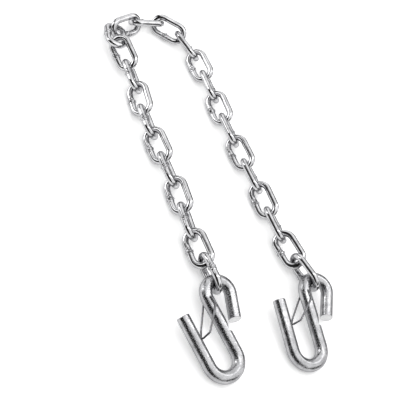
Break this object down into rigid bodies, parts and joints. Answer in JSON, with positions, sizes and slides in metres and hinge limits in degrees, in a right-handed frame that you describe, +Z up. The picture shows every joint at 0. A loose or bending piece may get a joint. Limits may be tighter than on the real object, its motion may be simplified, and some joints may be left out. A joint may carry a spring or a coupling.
{
  "type": "trailer safety chain with hooks",
  "caption": "Welded steel chain with an S-hook at each end; a spring-wire latch closes each throat. Ties a trailer to its tow vehicle.",
  "frame": {"origin": "under the middle of the laid-out chain, on the surface that it lies on", "axes": "+Z up from the table; +Y from the two hooks towards the bend; +X from the left hook to the right one"},
  "size_m": [0.18, 0.4544, 0.0315],
  "materials": {
    "link_zinc": "bright clear zinc plate over drawn wire, worn satin at the crowns and darker at the welds",
    "hook_zinc": "bright clear zinc plate over hot-rolled bar, lightly pitted, pale matt sawn ends",
    "latch_steel": "plated spring wire"
  },
  "bodies": {
    "chain_link_01": {"chain_link_01": "link_zinc"},
    "chain_link_02": {"chain_link_02": "link_zinc"},
    "chain_link_03": {"chain_link_03": "link_zinc"},
    "chain_link_04": {"chain_link_04": "link_zinc"},
    "chain_link_05": {"chain_link_05": "link_zinc"},
    "chain_link_06": {"chain_link_06": "link_zinc"},
    "chain_link_07": {"chain_link_07": "link_zinc"},
    "chain_link_08": {"chain_link_08": "link_zinc"},
    "chain_link_09": {"chain_link_09": "link_zinc"},
    "chain_link_10": {"chain_link_10": "link_zinc"},
    "chain_link_11": {"chain_link_11": "link_zinc"},
    "chain_link_12": {"chain_link_12": "link_zinc"},
    "chain_link_13": {"chain_link_13": "link_zinc"},
    "chain_link_14": {"chain_link_14": "link_zinc"},
    "chain_link_15": {"chain_link_15": "link_zinc"},
    "chain_link_16": {"chain_link_16": "link_zinc"},
    "chain_link_17": {"chain_link_17": "link_zinc"},
    "chain_link_18": {"chain_link_18": "link_zinc"},
    "chain_link_19": {"chain_link_19": "link_zinc"},
    "chain_link_20": {"chain_link_20": "link_zinc"},
    "chain_link_21": {"chain_link_21": "link_zinc"},
    "chain_link_22": {"chain_link_22": "link_zinc"},
    "chain_link_23": {"chain_link_23": "link_zinc"},
    "chain_link_24": {"chain_link_24": "link_zinc"},
    "chain_link_25": {"chain_link_25": "link_zinc"},
    "latch_spring_left": {"latch_spring_left": "latch_steel"},
    "latch_spring_right": {"latch_spring_right": "latch_steel"},
    "s_hook_left": {"s_hook_left": "hook_zinc"},
    "s_hook_right": {"s_hook_right": "hook_zinc"}
  },
  "joints": [
    {"name": "link_joint_14", "type": "hinge", "parent": "chain_link_13", "child": "chain_link_14", "pos_m": [0.02632, 0.21893, 0.01134], "axis": [0.4462, 0.5172, 0.7304], "range_deg": [-65, 60]},
    {"name": "link_joint_15", "type": "hinge", "parent": "chain_link_14", "child": "chain_link_15", "pos_m": [0.04953, 0.19816, 0.01244], "axis": [-0.6208, -0.3691, 0.6917], "range_deg": [-75, 75]},
    {"name": "link_joint_16", "type": "hinge", "parent": "chain_link_15", "child": "chain_link_16", "pos_m": [0.06094, 0.16162, 0.01021], "axis": [0.6208, 0.3691, -0.6917], "range_deg": [-75, 75]},
    {"name": "link_joint_17", "type": "hinge", "parent": "chain_link_16", "child": "chain_link_17", "pos_m": [0.06126, 0.12998, 0.01169], "axis": [-0.6968, -0.1412, -0.7032], "range_deg": [-75, 75]},
    {"name": "link_joint_18", "type": "hinge", "parent": "chain_link_17", "child": "chain_link_18", "pos_m": [0.0598, 0.09867, 0.01156], "axis": [-0.707, 0.0123, 0.7071], "range_deg": [-75, 75]},
    {"name": "link_joint_19", "type": "hinge", "parent": "chain_link_18", "child": "chain_link_19", "pos_m": [0.05923, 0.06737, 0.011], "axis": [0.707, -0.0123, 0.7071], "range_deg": [-75, 75]},
    {"name": "link_joint_20", "type": "hinge", "parent": "chain_link_19", "child": "chain_link_20", "pos_m": [0.05926, 0.03607, 0.01162], "axis": [0.7071, 0, -0.7071], "range_deg": [-75, 75]},
    {"name": "link_joint_21", "type": "hinge", "parent": "chain_link_20", "child": "chain_link_21", "pos_m": [0.06107, 0.0048, 0.01156], "axis": [-0.7067, -0.0247, -0.7071], "range_deg": [-75, 75]},
    {"name": "link_joint_22", "type": "hinge", "parent": "chain_link_21", "child": "chain_link_22", "pos_m": [0.06222, -0.02648, 0.01097], "axis": [-0.7067, -0.0247, 0.7071], "range_deg": [-75, 75]},
    {"name": "link_joint_23", "type": "hinge", "parent": "chain_link_22", "child": "chain_link_23", "pos_m": [0.06145, -0.05779, 0.01097], "axis": [0.7071, 0, 0.7071], "range_deg": [-75, 75]},
    {"name": "link_joint_24", "type": "hinge", "parent": "chain_link_23", "child": "chain_link_24", "pos_m": [0.06197, -0.08907, 0.01231], "axis": [0.7052, -0.1045, -0.7013], "range_deg": [-75, 75]},
    {"name": "link_joint_25", "type": "hinge", "parent": "chain_link_24", "child": "chain_link_25", "pos_m": [0.06563, -0.11333, 0.00846], "axis": [0.208, -0.1087, -0.9721], "range_deg": [-50, 45]},
    {"name": "hook_swing_right", "type": "hinge", "parent": "chain_link_25", "child": "s_hook_right", "pos_m": [0.0714, -0.13889, 0.0173], "axis": [-0.993, 0.1185, 0.0041], "range_deg": [-75, 20]},
    {"name": "latch_spring_right_pivot", "type": "hinge", "parent": "s_hook_right", "child": "latch_spring_right", "pos_m": [0.05675, -0.15104, 0.01557], "axis": [-0.0112, -0.1274, 0.9918], "range_deg": [0, 25], "stiffness_Nm_per_rad": 0.02, "springref_deg": -11.46},
    {"name": "link_joint_12", "type": "hinge", "parent": "chain_link_13", "child": "chain_link_12", "pos_m": [-0.00453, 0.21478, 0.01411], "axis": [0.1649, -0.7126, 0.6819], "range_deg": [-75, 10]},
    {"name": "link_joint_11", "type": "hinge", "parent": "chain_link_12", "child": "chain_link_11", "pos_m": [-0.02128, 0.203, 0.01129], "axis": [-0.0053, 0.9812, -0.1929], "range_deg": [-25, 0]},
    {"name": "link_joint_10", "type": "hinge", "parent": "chain_link_11", "child": "chain_link_10", "pos_m": [-0.04057, 0.1835, 0.01383], "axis": [-0.4394, -0.6574, -0.6121], "range_deg": [0, 65]},
    {"name": "link_joint_09", "type": "hinge", "parent": "chain_link_10", "child": "chain_link_09", "pos_m": [-0.03536, 0.15495, 0.01513], "axis": [0.5922, 0.5675, -0.5721], "range_deg": [-70, 45]},
    {"name": "link_joint_08", "type": "hinge", "parent": "chain_link_09", "child": "chain_link_08", "pos_m": [-0.03248, 0.11797, 0.01096], "axis": [0.7065, 0.0799, -0.7032], "range_deg": [-75, 75]},
    {"name": "link_joint_07", "type": "hinge", "parent": "chain_link_08", "child": "chain_link_07", "pos_m": [-0.03682, 0.08693, 0.01093], "axis": [-0.6885, 0.1775, -0.7032], "range_deg": [-75, 75]},
    {"name": "link_joint_06", "type": "hinge", "parent": "chain_link_07", "child": "chain_link_06", "pos_m": [-0.03698, 0.05558, 0.01171], "axis": [-0.7013, 0.1168, 0.7032], "range_deg": [-75, 75]},
    {"name": "link_joint_05", "type": "hinge", "parent": "chain_link_06", "child": "chain_link_05", "pos_m": [-0.03506, 0.02431, 0.01165], "axis": [0.7067, 0.0247, 0.7071], "range_deg": [-75, 75]},
    {"name": "link_joint_04", "type": "hinge", "parent": "chain_link_05", "child": "chain_link_04", "pos_m": [-0.03447, -0.00698, 0.01096], "axis": [0.7013, 0.1168, -0.7032], "range_deg": [-75, 75]},
    {"name": "link_joint_03", "type": "hinge", "parent": "chain_link_04", "child": "chain_link_03", "pos_m": [-0.03702, -0.03823, 0.01109], "axis": [-0.7061, 0.037, -0.7071], "range_deg": [-75, 75]},
    {"name": "link_joint_02", "type": "hinge", "parent": "chain_link_03", "child": "chain_link_02", "pos_m": [-0.03938, -0.06942, 0.01234], "axis": [-0.7045, 0.0616, 0.707], "range_deg": [-75, 75]},
    {"name": "link_joint_01", "type": "hinge", "parent": "chain_link_02", "child": "chain_link_01", "pos_m": [-0.03818, -0.09434, 0.00804], "axis": [0.1908, -0.1366, -0.9721], "range_deg": [-20, 55]},
    {"name": "hook_swing_left", "type": "hinge", "parent": "chain_link_01", "child": "s_hook_left", "pos_m": [-0.03474, -0.12051, 0.01709], "axis": [-0.9265, 0.3694, 0.0715], "range_deg": [-75, 5]},
    {"name": "latch_spring_left_pivot", "type": "hinge", "parent": "s_hook_left", "child": "latch_spring_left", "pos_m": [-0.05258, -0.1359, 0.01563], "axis": [0.0266, -0.1251, 0.9918], "range_deg": [0, 25], "stiffness_Nm_per_rad": 0.02, "springref_deg": -11.46}
  ]
}
